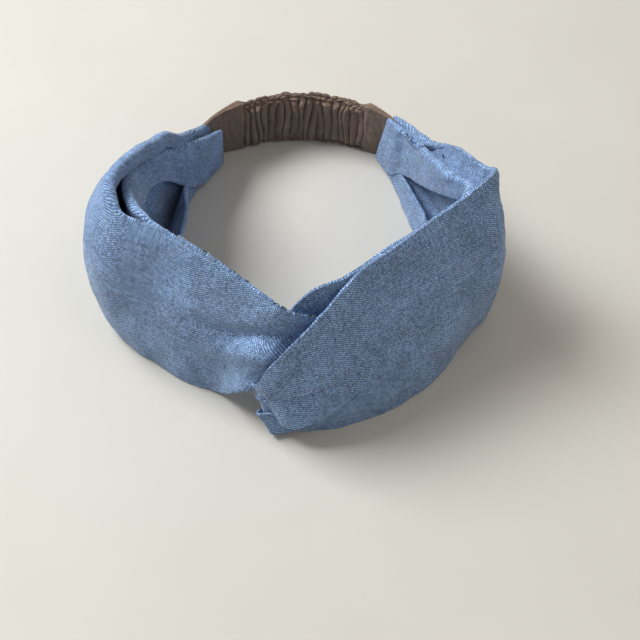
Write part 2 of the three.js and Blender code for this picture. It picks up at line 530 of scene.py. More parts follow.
@dataclass(frozen=True)
class Station:
    """What a band's cloth does at one place along it.

    low, high: the lower and the upper edge of the part that stands as a wall.
    hem, rim: the free edge of what is folded at the lower and at the upper edge. Three numbers
        are a place; two are how far it lies up and towards the band's face from that edge.
    pleat: the height of a pleat's crease above the lower edge, and the cloth it hides.
    tuck: the same of a second, smaller pleat above it.
    half: half the flat tube's thickness.
    belly: how far the wall bulges at half its height.
    flare: how far the wall's top leans out over the part just below it.
    recess: the height of a soft hollow with a ridge below it, and how deep it is.
    slack: how far the lowest cloth, and the cloth at the pleat's inner crease, hang loose.
    """

    low: Point
    high: Point
    hem: OffsetOrPoint = (0.0, 0.0)
    rim: OffsetOrPoint = (0.0, 0.0)
    pleat: Pair = (40.0, 0.0)
    tuck: Pair = (60.0, 0.0)
    half: float = 1.0
    belly: float = 0.0
    flare: float = 0.0
    recess: Pair = (40.0, 0.0)
    slack: Pair = (0.0, 0.0)


def knot_station(low: Pair, high: Pair, layer: float, **cloth) -> Station:
    """A station in the knot, from the x and z of its edges."""
    return Station(in_knot(*low, layer), in_knot(*high, layer), **cloth)


def u_turn(
    low: Pair, high: Pair, low_reach: Pair, high_reach: Pair, layer: float, slack: Pair, **cloth
) -> list[Station]:
    """Half a circle round the other band's edge, from one layer to the layer two further in.

    Args:
        low, high: x and z of the edges before the turn.
        low_reach, high_reach: how much further they lie at the middle of the turn.
        layer: the layer before the turn.
        slack: how loose the lowest cloth hangs at the middle of the turn.
        **cloth: the rest of each station.

    Returns:
        Five stations.
    """
    at_ends = 0.45
    stations = []
    for t in (0.0, 0.25, 0.5, 0.75, 1.0):
        bend = math.sin(math.pi * t)
        edges = [
            (edge[0] + reach[0] * bend, edge[1] + reach[1] * bend)
            for edge, reach in ((low, low_reach), (high, high_reach))
        ]
        loose = tuple(s * (at_ends + (1 - at_ends) * bend) for s in slack)
        stations.append(knot_station(*edges, layer + 1 - math.cos(math.pi * t), slack=loose, **cloth))
    return stations


@dataclass
class ClothBand:
    """A flat tube of cloth, folded along its length and carried along its edges.

    upper_on_top: whether the cloth above a pleat lies over the cloth below it.
    pleat_gap: the air between a pleat's layers.
    crease: how far a fold is rounded.
    overhang: how far the cloth above a pleat stands out over the cloth below it.
    turn_at: the station where the band turns round the other one.
    loose_way: where slack cloth hangs.
    row_step: the distance from one section to the next.
    columns: points across the folded cloth.
    """

    name: str
    side: Side
    stations: list[Station]
    seed: int
    upper_on_top: bool = True
    pleat_gap: float = 0.5
    crease: float = 1.6
    overhang: float = 0.0
    turn_at: float = 18.0
    loose_way: Point = (-1.0, 0.0, -0.05)
    row_step: float = 1.75
    columns: int = 160

    def rows(self) -> dict[str, Array]:
        """The edges, directions and folds at even steps along the band.

        Returns:
            Arrays with one row per step, by name.
        """
        low = np.array([s.low for s in self.stations])
        high = np.array([s.high for s in self.stations])
        middle = (low + high) / 2
        knots = np.concatenate([[0.0], np.cumsum(np.linalg.norm(np.diff(middle, axis=0), axis=1))])
        dense = np.linspace(0.0, knots[-1], 3000)
        path = glide(knots, middle, dense)
        run = np.concatenate([[0.0], np.cumsum(np.linalg.norm(np.diff(path, axis=0), axis=1))])
        even = np.linspace(0.0, run[-1], int(run[-1] / self.row_step) + 1)
        at = np.interp(even, run, dense)
        rows = self.directions(glide(knots, low, at), glide(knots, high, at))
        marks = self.directions(glide(knots, low, dense), glide(knots, high, dense))
        marks = {key: value[np.searchsorted(dense, knots - 1e-6)] for key, value in marks.items()}
        for key, edge in (("hem", "low"), ("rim", "high")):
            offsets = [self.offset(getattr(s, key), marks, edge, i) for i, s in enumerate(self.stations)]
            rows[key] = glide(knots, np.array(offsets), at)
        for key in ("pleat", "tuck", "half", "belly", "flare", "slack", "recess"):
            rows[key] = glide(knots, np.array([getattr(s, key) for s in self.stations]), at)
        rows["run"] = even
        rows["station"] = np.interp(at, knots, np.arange(len(knots)))
        return rows

    def directions(self, low: Array, high: Array) -> dict[str, Array]:
        """The directions up the wall, along the band and out of its face.

        Args:
            low, high: the band's two edges.

        Returns:
            The edges and the directions, by name.
        """
        width = unit(high - low)
        along = unit(np.gradient((low + high) / 2, axis=0))
        face = unit(np.cross(width, along)) * self.side.value
        along = unit(np.cross(face, width))
        return {"low": low, "high": high, "width": width, "face": face, "along": along}

    @staticmethod
    def offset(place: OffsetOrPoint, marks: dict[str, Array], edge: str, i: int) -> list[float]:
        """A free edge's place as distances up, towards the face and along from its fold.

        Args:
            place: the point, or the two distances up and towards the face.
            marks: the band's directions at its stations.
            edge: the edge that it is folded at.
            i: the station's number.

        Returns:
            The three distances.
        """
        if len(place) == 2:
            return [*place, 0.0]
        away = np.array(place) - marks[edge][i]
        return [float(away @ marks[key][i]) for key in ("width", "face", "along")]

    def outline(self, rows: dict[str, Array]) -> tuple[Array, Array]:
        """The corners of each row's folded section, from the hem to the rim.

        A pleat is a Z: up in one layer, down in the next, and up again in the third. Its
        layers part as it gets deep.

        Args:
            rows: the band's edges, directions and folds.

        Returns:
            The corners, and how far each is rounded.
        """
        low, high, width, face, along = (rows[k] for k in ("low", "high", "width", "face", "along"))
        tall = np.linalg.norm(high - low, axis=1)
        pitch = 2 * rows["half"] + 0.25
        deep_pleat = 9.0
        deep_tuck = 3.0
        stack_middle = 1.55
        folds = []
        for key, full_gap, deep in (
            ("pleat", pitch + self.pleat_gap, deep_pleat),
            ("tuck", 0.6 * pitch, deep_tuck),
        ):
            depth = np.maximum(rows[key][:, 1], 0.0)
            folds.append((np.clip(rows[key][:, 0], 0.0, tall), depth, full_gap * ease(depth / deep)))
        level = -stack_middle * sum(gap for _, _, gap in folds) * self.upper_on_top
        hem, rim = rows["hem"], rows["rim"]
        hem_turn, rim_turn = self.turned(hem, pitch, 1.5), self.turned(rim, pitch, 0.4)
        up = [hem[:, 0], 0 * tall, 0 * tall]
        out = [level + hem[:, 1], level + hem_turn, level]
        for crease, depth, gap in folds:
            first, last = (crease + depth, crease) if self.upper_on_top else (crease, crease - depth)
            step = gap if self.upper_on_top else -gap
            up += [first, first, last, last]
            out += [level, level + step, level + step, level + 2 * step]
            level = level + 2 * step
        up += [tall, tall, tall + rim[:, 0]]
        out += [level, level + rim_turn, level + rim[:, 1]]
        up, out = (np.stack(c, 1)[..., None] for c in (up, out))
        points = low[:, None] + width[:, None] * up + face[:, None] * out
        points[:, 0] += along * hem[:, 2:]
        points[:, -1] += along * rim[:, 2:]
        points[:, :3] += (np.array(self.loose_way) * rows["slack"][:, :1])[:, None]
        points[:, 3:5] += (np.array(self.loose_way) * rows["slack"][:, 1:])[:, None]
        stand = face * (self.overhang * ease(folds[0][1] / deep_pleat))[:, None]
        points[:, 5:7] += stand[:, None]
        points[:, :3] -= (stand * ease((self.turn_at - rows["station"]) / 2.0)[:, None])[:, None]
        soft = np.full(points.shape[:2], self.crease)
        soft[:, [0, -1]] = 0.0
        return points, soft

    @staticmethod
    def turned(offset: Array, pitch: Array, sharp: float) -> Array:
        """How far the cloth goes over, towards the face, where a flap leaves its fold.

        Args:
            offset: the flap's free edge, as distances up, towards the face and along.
            pitch: the distance between two layers.
            sharp: how soon the cloth turns over as the free edge leaves the wall.

        Returns:
            The distance, which reaches one pitch on a full flap.
        """
        flap = np.linalg.norm(offset, axis=1)
        return np.tanh(offset[:, 1] / sharp) * ease(flap / 5.0) * pitch

    def section(self, corners: Array, soft: Array) -> tuple[Array, Array, Array]:
        """Each row's corners rounded, and set out evenly with extra points at the bends.

        A rounded corner is the parabola that touches both its legs.

        Args:
            corners: each row's corners.
            soft: how far each is rounded.

        Returns:
            The points, the distance of each across the cloth from the rim, and how much it
            belongs to the wall: 0 on a flap, 1 between the edges.
        """
        per_bend = 7
        extra_step = 0.22
        legs = np.diff(corners, axis=1)
        length = np.maximum(np.linalg.norm(legs, axis=2), 1e-6)
        ahead = legs / length[..., None]
        cut = np.minimum(soft[:, 1:-1], 0.48 * np.minimum(length[:, 1:], length[:, :-1]))[..., None]
        middle = corners[:, 1:-1]
        start, end = middle - ahead[:, :-1] * cut, middle + ahead[:, 1:] * cut
        start, middle, end = start[:, :, None], middle[:, :, None], end[:, :, None]
        t = np.linspace(0.0, 1.0, per_bend)[None, None, :, None]
        bends = start * (1 - t) ** 2 + middle * 2 * t * (1 - t) + end * t**2
        line = np.concatenate([corners[:, :1], bends.reshape(len(corners), -1, 3), corners[:, -1:]], 1)
        step = np.linalg.norm(np.diff(line, axis=1), axis=2)
        count = bends.shape[1]
        corner = np.concatenate([[0.0], np.repeat(np.arange(1.0, count + 1), per_bend), [count + 1.0]])
        extra = np.append(np.tile([0.0] + [1.0] * (per_bend - 1), count), 0.0)[None, :] * extra_step
        zero = np.zeros((len(line), 1))
        true = np.concatenate([zero, np.cumsum(step, 1)], 1)
        drawn = np.concatenate([zero, np.cumsum(step + extra, 1)], 1)
        even = np.linspace(0.0, 1.0, self.columns)
        points = np.empty((len(line), self.columns, 3))
        across, wall = np.empty((2, len(line), self.columns))
        for row in range(len(line)):
            at = even * drawn[row, -1]
            for axis in range(3):
                points[row, :, axis] = np.interp(at, drawn[row], line[row, :, axis])
            across[row] = true[row, -1] - np.interp(at, drawn[row], true[row])
            place = np.interp(at, drawn[row], corner)
            wall[row] = ease(place - 1) * ease(corner[-1] - 1 - place)
        return points, across, wall

    def surface(self) -> tuple[Array, Array]:
        """The band's closed skin: its folded middle sheet, half a tube's thickness each way.

        Round the tube, the skin goes up the face side, over the rim, down the back and round
        the hem, and follows half circles at the two edges.

        Returns:
            The grid of points, and the place of each on the flat cloth in metres.
        """
        rows = self.rows()
        sheet, across, wall = self.section(*self.outline(rows))
        run = rows["run"][:, None]
        tall = np.linalg.norm(rows["high"] - rows["low"], axis=1)[:, None]
        height = ((sheet - rows["low"][:, None]) * rows["width"][:, None]).sum(-1) / tall
        sheet = sheet + rows["face"][:, None] * self.shape(run, height, tall, wall, rows)[..., None]
        up = unit(np.gradient(sheet, axis=1))
        normal = unit(np.cross(up, np.gradient(sheet, axis=0))) * self.side.value
        count = self.columns
        cap = np.linspace(0.0, math.pi, 7)[1:-1]
        go = np.arange(count)
        place = np.concatenate([go, np.full(len(cap), count - 1), go[::-1], np.zeros(len(cap), int)])
        lift = np.concatenate([np.ones(count), np.cos(cap), -np.ones(count), -np.cos(cap)])
        reach = np.concatenate([np.zeros(count), np.sin(cap), np.zeros(count), -np.sin(cap)])
        wide = across[:, place]
        half = rows["half"][:, None]
        thick = half * self.puff(run, wide, lift[None, :], across[:, :1])
        grid = (
            sheet[:, place]
            + normal[:, place] * (thick * lift[None, :] + self.wrinkles(run, wide))[..., None]
            + up[:, place] * (half * reach[None, :])[..., None]
        )
        grid[..., 2] = self.rest_on_table(grid[..., 2])
        bend = np.concatenate([np.zeros(count), cap, np.full(count, math.pi), math.pi + cap])
        bend = half * bend[None, :]
        back = (np.arange(len(place)) >= count + len(cap))[None, :]
        v = np.where(back, -wide, wide) - bend
        v = np.concatenate([v, v[:, :1] - 2 * across[:, :1] - 2 * math.pi * half], 1)
        uv = np.stack(np.broadcast_arrays(run, v), -1) * MM
        return grid, uv

    def rest_on_table(self, z: Array) -> Array:
        """Heights that never reach below the table, eased so that the cloth flattens on it."""
        soft = 1.2
        return np.where(z > soft, z, soft * np.exp(np.minimum(z - soft, 0) / soft))

    def puff(self, run: Array, across: Array, lift: Array, whole: Array) -> Array:
        """How full the tube is: thin at its pressed edges, fuller between, and uneven.

        The seam's turned-in allowance is a low step along the rim.

        Args:
            run: distance along the band.
            across: distance across the cloth from the rim.
            lift: 1 on the face side, -1 on the back.
            whole: the cloth's whole width.

        Returns:
            How many times its usual thickness the tube has.
        """
        allowance_width = 9.4
        middle = 1.0 - np.abs(2 * across / whole - 1) ** 4
        full = 1.0 + 0.35 * middle * (1.0 + 0.6 * ripple(run, across, self.seed, (25.0, 60.0)))
        allowance = 0.3 * ease(allowance_width - across) * ease((across - 1.2) / 1.2) * (lift > 0)
        return full + allowance

    def shape(self, run: Array, height: Array, tall: Array, wall: Array, rows: dict[str, Array]) -> Array:
        """How far the wall bulges, and the slow waves of the whole cloth.

        The belly is a parabola over the height, the flare a step at the top, and the recess a
        dip with a ridge below it, both shaped as exponentials of a square.

        Args:
            run: distance along the band.
            height: share of the wall's height.
            tall: the wall's height.
            wall: how much each point belongs to the wall.
            rows: the band's folds.

        Returns:
            The distance out of the band's face.
        """
        ridge_below, ridge_wide, dip_wide = 11, 8, 5
        u = np.clip(height, 0.0, 1.0)
        belly = rows["belly"][:, None] * 4 * u * (1 - u)
        belly = wall * (belly - rows["flare"][:, None] * ease((1 - u) / 0.25) * ease(u / 0.5))
        above = height * tall - rows["recess"][:, :1]
        ridge = 0.6 * np.exp(-(((above + ridge_below) / ridge_wide) ** 2))
        belly = belly + rows["recess"][:, 1:] * (ridge - np.exp(-((above / dip_wide) ** 2)))
        from_end = np.minimum(rows["station"], len(self.stations) - 1 - rows["station"])
        calm = track({0: 0.0, 2: 0.4, 5: 1.0, 9: 1.0, 12: 0.3}, from_end)[:, None]
        calm = calm * (1 - 0.75 * u**3)
        return belly + calm * 0.9 * ripple(run, height * tall, self.seed + 1, (34.0, 80.0), 0.7)

    def wrinkles(self, run: Array, across: Array) -> Array:
        """Small crumples of the skin, and puckers along the seam at the rim.

        Args:
            run: distance along the band.
            across: distance across the cloth from the rim.

        Returns:
            The distance out of the skin.
        """
        small = 0.16 * ripple(run, across, self.seed + 2, (8.0, 20.0), 0.8)
        fine = 0.05 * ripple(run, across, self.seed + 4, (2.5, 5.0), 0.8)
        pucker = 0.14 * ripple(run, across * 0.2, self.seed + 3, (4.0, 8.0)) * ease((12 - across) / 10)
        return small + fine + pucker


def right_band() -> ClothBand:
    """The right band: it passes in front and wraps the left band's lower edge."""
    stations = [
        Station((46.5, 82, 1), (45.5, 73.5, 34.5), (30, -1.3), (-30, -2.6), half=0.45),
        Station((50.0, 74, 1), (48.6, 66, 38.8), (30, -1.6), (-24, -1.2), half=0.55),
        Station((57, 56, 0.5), (54.8, 48, 48.7), (22, -4), (-10, -1.6), half=0.8, flare=1),
        Station((63.5, 41, 0), (60.3, 34.5, 55.8), (8, -5), (-3, -1), half=0.9, flare=2),
        Station((70.5, 22, 0), (67.2, 20, 68.3), flare=3),
        Station((78, 4, 0), (74.2, 2.5, 78.5), flare=5),
        Station((82, -5, 0), (79, -8, 84.5), belly=1, flare=5),
        Station((84.5, -12, 0), (81.2, -13.8, 89.5), belly=4, flare=3),
        Station((85.5, -18, 0), (79.5, -16.8, 90.3), belly=6),
        Station((85.5, -23, 0), (76.3, -20.3, 90), belly=8),
        Station((80.5, -31, 0), (70, -25, 87.5), belly=8),
        Station((70, -47.5, 0), (54, -37.5, 84), pleat=(31, 0), belly=6),
        Station((54, -67, 0), (37, -50.5, 80.5), pleat=(41, 1.5), tuck=(44, 0), belly=4),
        Station((34.5, -84, 0), (20, -63.5, 76.5), (3, -1), pleat=(34, 5.5), tuck=(37, 0),
                half=0.8, belly=2),
        Station((25.5, -89.5, 0.2), (12, -71.2, 70.5), (6, -1), pleat=(26, 8.5), tuck=(36, 0),
                half=0.7, belly=1),
        Station((16, -93.5, 0.5), (3, -79, 64), (8, -1.3), pleat=(18.5, 11), tuck=(33.5, 1.4),
                half=0.6, slack=(2, 1)),
        *u_turn((4.5, 2.5), (-13.5, 42), (-4.8, -2), (-5.2, -14), 0, (15.5, 7.5),
                half=0.5, pleat=(11, 13.5), tuck=(29, 3.5), hem=(13, -1.3)),
        knot_station((14, 12), (-8, 56), 2, half=0.5, pleat=(14, 11), hem=(10, -1.3), tuck=(35, 2)),
        knot_station((27, 9), (3, 71), 2, half=0.6, pleat=(16, 6), hem=(6, -1.3)),
        knot_station((39, 4), (18, 77), 2, half=0.8, pleat=(16, 2), hem=(2, -1)),
        Station((50, -57, 0), (33, -52, 79)),
        Station((60, -43, 0), (51, -39, 81)),
        Station((68, -28, 0), (67, -26, 81), (0, 0), (-3, 1.5)),
        Station((70, -14, 0), (73, -13, 77.5), (68.6, -14, 14), (72, -10, 66), belly=-2),
        Station((67, -4, 0), (69, -4, 72.5), (65.8, -4, 19), (67.8, -2, 59), belly=-4),
        Station((63.5, 7, 0), (65, 7.2, 66.5), (62.3, 7, 21), (63.3, 9, 50), belly=-8),
        Station((58.2, 26, 0), (57.3, 28, 56), (56.8, 25, 20), (56.2, 31, 32), belly=-9),
        Station((52, 44, 0), (49.5, 50, 45.2), (51.1, 43.5, 19), (48.4, 55.3, 14), half=0.8, belly=-4),
        Station((46, 60.6, 0), (45.4, 62, 40), (47.6, 59, 15), (43.5, 63.5, 5), half=0.6),
        Station((39.6, 77.5, 1), (42.5, 70, 36.5), (28, 0.8), (-34, 2.6), half=0.45),
    ]
    return ClothBand("right_band_cloth", Side.RIGHT, stations, 11, pleat_gap=1.1, crease=1.5, overhang=2.2)


def left_band() -> ClothBand:
    """The left band: it passes behind and wraps the right band's inner leg."""
    stations = [
        Station((-46.4, 82.4, 1), (-46.9, 72.2, 29.5), (28, -1.3), (-27, -2.4), half=0.45),
        Station((-51, 74, 1), (-51, 60.5, 37), (27, -2), (-26, -4), half=0.6),
        Station((-59, 58, 0.5), (-59, 44, 48.5), (20, -5), (-14, -4), half=0.8),
        Station((-66, 43, 0), (-63.5, 31, 62.5), (8, -6), (-9, -2), half=0.9, belly=2),
        Station((-75, 20, 0), (-69, 18, 70), (0, 0), (-8, -1.8), belly=6),
        Station((-83, 2, 0), (-75, 3.5, 78), (0, 0), (-8, -1.8), belly=9),
        Station((-86.5, -13, 0), (-81.3, -13, 82.5), (0, 0), (-7, -2), belly=11),
        Station((-86.5, -27, 0), (-81.6, -24, 81.5), (0, 0), (-4.5, -1.8), belly=11),
        Station((-82, -37, 0), (-76, -32.5, 78.5), (0, 0), (-1, -0.7), belly=9),
        Station((-75, -45.5, 0), (-67, -36.5, 77.5), belly=7),
        Station((-65, -54, 0), (-55, -41.5, 77), belly=5),
        Station((-51.6, -62.4, 0), (-40.6, -50.5, 76.5), belly=4, recess=(43, 0.6)),
        Station((-37, -68.5, 1), (-20.7, -64, 72), (4, -1), belly=3, recess=(43, 3)),
        knot_station((-25, 20), (-4, 67), 1, half=0.7, hem=(16, -1.3), pleat=(35, 2.5),
                     belly=1, recess=(36, 3.7)),
        knot_station((-12, 30), (8, 62), 1, half=0.55, hem=(24, -1.3), pleat=(22, 6), recess=(22, 4)),
        knot_station((0, 22), (19, 49), 1, half=0.5, pleat=(20, 14), hem=(24, -1.3)),
        *u_turn((6, 10), (30, 34), (3.5, -3.5), (3.5, -3.5), 1, (0, 0),
                half=0.5, pleat=(22, 15), hem=(24, -1.3)),
        knot_station((-8, 20), (10, 52), 3, half=0.6, hem=(20, -1.3), pleat=(26, 12)),
        knot_station((-28, 8), (-12, 61), 3, half=0.8, hem=(8, -1.3), pleat=(34, 6)),
        Station((-48, -50, 2), (-40, -44.5, 65)),
        Station((-60, -38, 0), (-58, -37, 73.5)),
        Station((-70, -24, 0), (-73, -24, 74), (0, 0), (-69, -27, 70)),
        Station((-72, -8, 0), (-77.8, -6.2, 69.5), (-60, -12, 10), (-69.2, -10, 62.5)),
        Station((-71, 8, 0), (-76, 8.6, 64), (-55.5, 4, 26), (-68.8, 4, 54.5)),
        Station((-68, 24, 0), (-70, 23.7, 56), (-55, 20, 27), (-66, 21, 42)),
        Station((-64.5, 35, 0), (-64.2, 35, 48.7), (-56, 33, 24), (-62, 31, 31)),
        Station((-58.5, 47.5, 0), (-55.6, 45.7, 41.4), (-57, 44, 14), (-56.5, 42, 16), half=0.8),
        Station((-51.3, 60, 0), (-47.8, 56.2, 35.2), (-51.5, 57, 14), (-49.5, 57, 2.5), half=0.6),
        Station((-43.4, 73.5, 1), (-41.3, 66.5, 30), (25, 0.8), (-28, 2.6), half=0.45),
    ]
    return ClothBand(
        "left_band_cloth", Side.LEFT, stations, 31, upper_on_top=False, pleat_gap=1.0, crease=2.2
    )


# ---- the casing and elastic


@dataclass
class CasingPath:
    """The curve behind the head that the casing and its elastic both follow."""

    tongue: float
    step: float

    def rows(self) -> dict[str, Array]:
        """Even steps from the left band's seam to the right band's, with a tongue at each end.

        Returns:
            Each step's distance, place at z = 0, direction outwards and backward lean.
        """
        rise = CASING_MID_Y - SEAM_Y
        radius = (SEAM_X**2 + rise**2) / (2 * rise)
        half = math.asin(SEAM_X / radius)
        t = np.linspace(-1.0, 1.0, 9)
        x = radius * np.sin(half * t)
        y = CASING_MID_Y - radius * (1 - np.cos(half * t))
        lean = END_LEAN * t * t
        ends = np.array([[SEAM_X + 0.6 * self.tongue, SEAM_Y - 0.8 * self.tongue, END_LEAN]])
        marks = np.concatenate([ends * [-1, 1, 1], np.stack([x, y, lean], 1), ends])
        knots = np.concatenate([[0.0], np.cumsum(np.linalg.norm(np.diff(marks[:, :2], axis=0), axis=1))])
        at = np.linspace(0.0, knots[-1], int(knots[-1] / self.step) + 1)
        line = glide(knots, marks, at)
        run = unit(np.gradient(line[:, :2], axis=0))
        return {
            "run": at - self.tongue,
            "length": knots[-1] - 2 * self.tongue,
            "place": line[:, :2],
            "out": np.stack([-run[:, 1], run[:, 0]], 1),
            "along": run,
            "lean": line[:, 2],
        }


@dataclass
class GatheredCasing:
    """The taupe casing: a closed cloth tube, drawn up in gathers between two smooth ends."""

    name: str = "gathered_casing_cloth"
    seed: int = 5
    gather: float = 3.5
    depth: float = 3.9
    drawn_down: float = 3.5
    smooth_end: float = 12.0
    loop: int = 190

    def flat_loop(self, thick: Array) -> tuple[Array, Array, Array, Array]:
        """The tube's section before it is gathered: two flat sides and two round edges.

        Args:
            thick: half the tube's thickness, one per row.

        Returns:
            Distance round the loop, height, distance outwards, and the outward direction's
            height share, with a row for each row and a column for each point round the loop.
        """
        tall = CASING_HEIGHT / 2
        turn = np.linspace(0.0, 2 * math.pi, self.loop, endpoint=False)[None, :]
        edge_round = 0.8
        side_flat = 0.16
        up = np.sign(np.cos(turn)) * np.abs(np.cos(turn)) ** edge_round
        side = np.sign(np.sin(turn)) * np.abs(np.sin(turn)) ** side_flat
        height = tall + tall * up
        out = thick[:, None] * side
        around = np.cumsum(np.hypot(np.gradient(height, axis=1), np.gradient(out, axis=1)), 1)
        edge = np.abs(np.cos(turn)) ** 10 * np.sign(np.cos(turn))
        return around, np.broadcast_to(height, out.shape), out, np.broadcast_to(edge, out.shape)

    def gathers(self, run: Array, height: Array, side: Array) -> tuple[Array, Array]:
        """Round crests with sharp valleys between, wandering, leaning and sometimes merging.

        A crest is a power of the sine of half the phase, which grows with the distance along.

        Args:
            run: distance along the casing.
            height: height on the casing.
            side: 0 on the inner face, 1 on the outer.

        Returns:
            How far the cloth stands out, from 0 in a valley to 1 on a crest, and how far each
            crest leans along the casing, from -1 to 1.
        """
        wander = 1.9 * ripple(run, height * 0.2 + 40 * side, self.seed, (11.0, 30.0))
        wander += 0.7 * ripple(run, height * 0.5 + 90 * side, self.seed + 1, (6.0, 12.0))
        phase = 2 * math.pi * run / self.gather + wander + 1.4 * side
        crest = np.abs(np.sin(phase / 2)) ** 0.85
        uneven = 0.85 + 0.3 * ripple(run, height * 0.3 + 60 * side, self.seed + 2, (8.0, 18.0))
        way = ripple(run, height * 0.4 + 50 * side, self.seed + 6, (9.0, 20.0))
        return crest * uneven, crest * way * 1.3 - 0.5 * np.sin(phase)

    def surface(self) -> tuple[Array, Array]:
        """The casing's skin: the flat loop, pushed out by the gathers and frilled at its edges.

        Returns:
            The grid of points, and the place of each on the flat cloth in metres.
        """
        clear_of_elastic = 1.0
        rows = CasingPath(tongue=8.0, step=0.3).rows()
        run, length = rows["run"][:, None], rows["length"]
        from_end = np.minimum(rows["run"], length - rows["run"])
        gathered = ease((from_end - self.smooth_end) / 5.0)[:, None]
        thick = 1.1 + 1.5 * ease((from_end + 2) / 16.0)
        around, height, out, edge = self.flat_loop(thick)
        side = np.sign(out + 1e-6) * (1 - np.abs(edge))
        pinch = np.abs(2 * height / CASING_HEIGHT - 1) ** 3
        out = out * (1 - 0.7 * pinch * gathered)
        crest, lean = self.gathers(run, height, 0.5 + 0.5 * side)
        faint = 0.18 * ripple(run, height, self.seed + 3, (6.0, 16.0), 0.4)
        stand = gathered * self.depth * (crest - 0.55) + faint
        out = out + side * stand + 0.3 * gathered * ripple(run, height, self.seed + 4, (9.0, 22.0))
        clear = np.maximum(np.abs(out) * (out * side > 0), clear_of_elastic)
        out = np.where(np.abs(side) > 0.5, np.sign(side) * clear, out)
        frill = 1.7 * gathered * (crest - 0.3)
        frill = frill + 0.5 * gathered * ripple(run, out, self.seed + 5, (4.0, 9.0))
        height = height + np.maximum(edge, 0) * frill - np.minimum(edge, 0) * 0.5 * np.abs(frill)
        shift = 0.9 * gathered * lean
        height = height * (1 - self.drawn_down / CASING_HEIGHT * gathered)
        lean_back = rows["lean"][:, None] * height / CASING_HEIGHT
        x = rows["place"][:, :1] + rows["out"][:, :1] * out + rows["along"][:, :1] * shift
        y = rows["place"][:, 1:] + rows["out"][:, 1:] * out + rows["along"][:, 1:] * shift - lean_back
        grid = np.stack([x, y, np.maximum(height, 0.05)], -1)
        full = np.broadcast_to(run + np.cumsum(gathered, 0) * 0.3, around.shape)
        v = np.concatenate([around, around[:, -1:] + 0.4], 1)
        u = np.concatenate([full, full[:, :1]], 1)
        return grid, np.stack([u, v], -1) * MM


@dataclass
class ElasticStrip:
    """The flat elastic, upright inside the casing and sewn in at both ends."""

    name: str = "braided_elastic_strip"
    width: float = 25.0
    thick: float = 1.4
    rise: float = 5.0

    def build(self) -> bpy.types.Object:
        """The strip's mesh: a rounded flat section along the casing's path."""
        rows = CasingPath(tongue=6.5, step=0.8).rows()
        turn = np.linspace(0.0, 2 * math.pi, 56, endpoint=False)[None, :]
        height = self.rise + self.width / 2 * (1 + np.sign(np.cos(turn)) * np.abs(np.cos(turn)) ** 0.7)
        out = self.thick / 2 * np.sign(np.sin(turn)) * np.abs(np.sin(turn)) ** 0.3
        lean = rows["lean"][:, None] * height / CASING_HEIGHT
        x = rows["place"][:, :1] + rows["out"][:, :1] * out
        y = rows["place"][:, 1:] + rows["out"][:, 1:] * out - lean
        grid = np.stack([x, y, np.broadcast_to(height, x.shape)], -1)
        v = np.concatenate([height, height[:, :1]], 1) + np.zeros_like(rows["lean"])[:, None]
        u = np.broadcast_to(rows["run"][:, None], v.shape)
        return tube_piece(self.name, grid, np.stack([u, v], -1) * MM)


# ---- stitches


@dataclass
class StitchRow:
    """A row of short stitches, each a bowed thread whose ends dip into the cloth."""

    name: str
    line: Array
    away: Array
    pitch: float = 2.8
    length: float = 2.0
    radius: float = 0.17
    sink: float = 0.1

    def build(self) -> bpy.types.Object:
        """All the row's stitches as one mesh of small closed tubes.

        A stitch bows out by a power of a sine over its length, and its ends are rounded off.

        Returns:
            The object.
        """
        steps = 9
        sides = 8
        run = np.concatenate([[0.0], np.cumsum(np.linalg.norm(np.diff(self.line, axis=0), axis=1))])
        count = int((run[-1] - self.pitch) / self.pitch)
        start = (np.arange(count) + 0.5) * self.pitch
        t = np.linspace(0.0, 1.0, steps)
        at = start[:, None] + self.length * t[None, :]
        place = np.stack([np.interp(at, run, self.line[:, k]) for k in range(3)], -1)
        away = unit(np.stack([np.interp(at, run, self.away[:, k]) for k in range(3)], -1))
        ahead = unit(np.gradient(place, axis=1))
        bow = (np.sin(math.pi * t) ** 0.6 * (self.radius + 0.12) - self.sink)[None, :, None]
        place = place + away * bow
        side = unit(np.cross(away, ahead))
        thick = (self.radius * np.sqrt(np.clip(1 - (2 * t - 1) ** 8, 0.02, 1)))[None, :, None, None]
        turn = np.linspace(0.0, 2 * math.pi, sides, endpoint=False)[None, None, :, None]
        round_it = np.cos(turn) * away[:, :, None] + np.sin(turn) * side[:, :, None]
        ring = place[:, :, None] + thick * round_it
        points = ring.reshape(-1, 3)
        each = grid_faces(steps, sides, True)
        caps = np.stack([np.arange(sides)[::-1], sides * (steps - 1) + np.arange(sides)])
        first = (np.arange(count) * steps * sides)[:, None, None]
        u = np.broadcast_to(at[:, :, None], ring.shape[:3])
        v = np.broadcast_to((np.arange(sides) * 0.13)[None, None, :], ring.shape[:3])
        uv = np.stack([u, v], -1).reshape(-1, 2) * MM
        faces = [(first + each[None]).reshape(-1, 4), (first + caps[None]).reshape(-1, sides)]
        return mesh_piece(self.name, points, faces, [uv[f] for f in faces])


# ---- the stage


